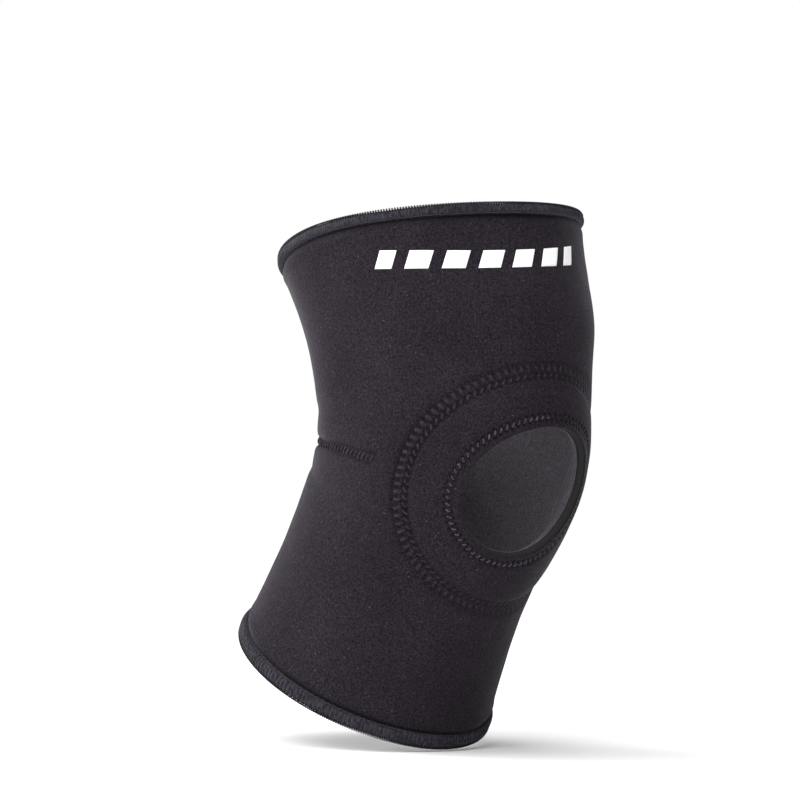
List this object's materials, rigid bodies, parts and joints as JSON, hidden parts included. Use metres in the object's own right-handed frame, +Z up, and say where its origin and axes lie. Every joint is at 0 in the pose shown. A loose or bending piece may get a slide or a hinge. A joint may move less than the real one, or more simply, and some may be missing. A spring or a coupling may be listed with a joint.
{
  "type": "knee brace",
  "caption": "Pull-on neoprene knee sleeve in its worn, bent shape, with a padded kneecap opening, rolled hems and darts behind the knee.",
  "frame": {"origin": "centre of the knee, on the axis that the knee bends about", "axes": "+Z up, -Y to the front of the knee, +X along the knee's hinge axis"},
  "size_m": [0.1498, 0.1817, 0.2639],
  "materials": {
    "jersey": "matt knit nylon jersey",
    "neoprene": "closed-cell foam",
    "lining": "matt knit nylon lining",
    "binding": "ribbed elastic binding",
    "thread": "twisted polyester thread",
    "print": "heat-transfer print",
    "label": "satin ribbon"
  },
  "bodies": {
    "thigh_cuff": {"thigh_outer_fabric": "jersey", "thigh_foam_core": "neoprene", "thigh_lining": "lining", "knee_front_outer_fabric": "jersey", "knee_front_foam_core": "neoprene", "knee_front_lining": "lining", "knee_rear_outer_fabric": "jersey", "knee_rear_foam_core": "neoprene", "knee_rear_lining": "lining", "patella_ring_pad": "neoprene", "ring_outer_stitching": "thread", "opening_edge_stitching": "thread", "rear_thigh_seam": "thread", "rear_knee_seam": "thread", "dart_stitching_left": "thread", "dart_stitching_right": "thread", "top_hem_binding": "binding", "top_hem_stitching": "thread", "print_mark": "print", "care_label": "label"},
    "calf_cuff": {"calf_outer_fabric": "jersey", "calf_foam_core": "neoprene", "calf_lining": "lining", "bottom_hem_binding": "binding", "bottom_hem_stitching": "thread", "rear_calf_seam": "thread"}
  },
  "joints": [
    {"name": "knee_flex", "type": "hinge", "parent": "thigh_cuff", "child": "calf_cuff", "pos_m": [0, 0, 0], "axis": [1, 0, 0], "range_deg": [-38, 52], "stiffness_Nm_per_rad": 0.55, "deforming": ["knee_front_outer_fabric", "knee_front_foam_core", "knee_front_lining", "knee_rear_outer_fabric", "knee_rear_foam_core", "knee_rear_lining", "patella_ring_pad", "ring_outer_stitching", "opening_edge_stitching", "rear_knee_seam", "dart_stitching_left", "dart_stitching_right"]}
  ]
}
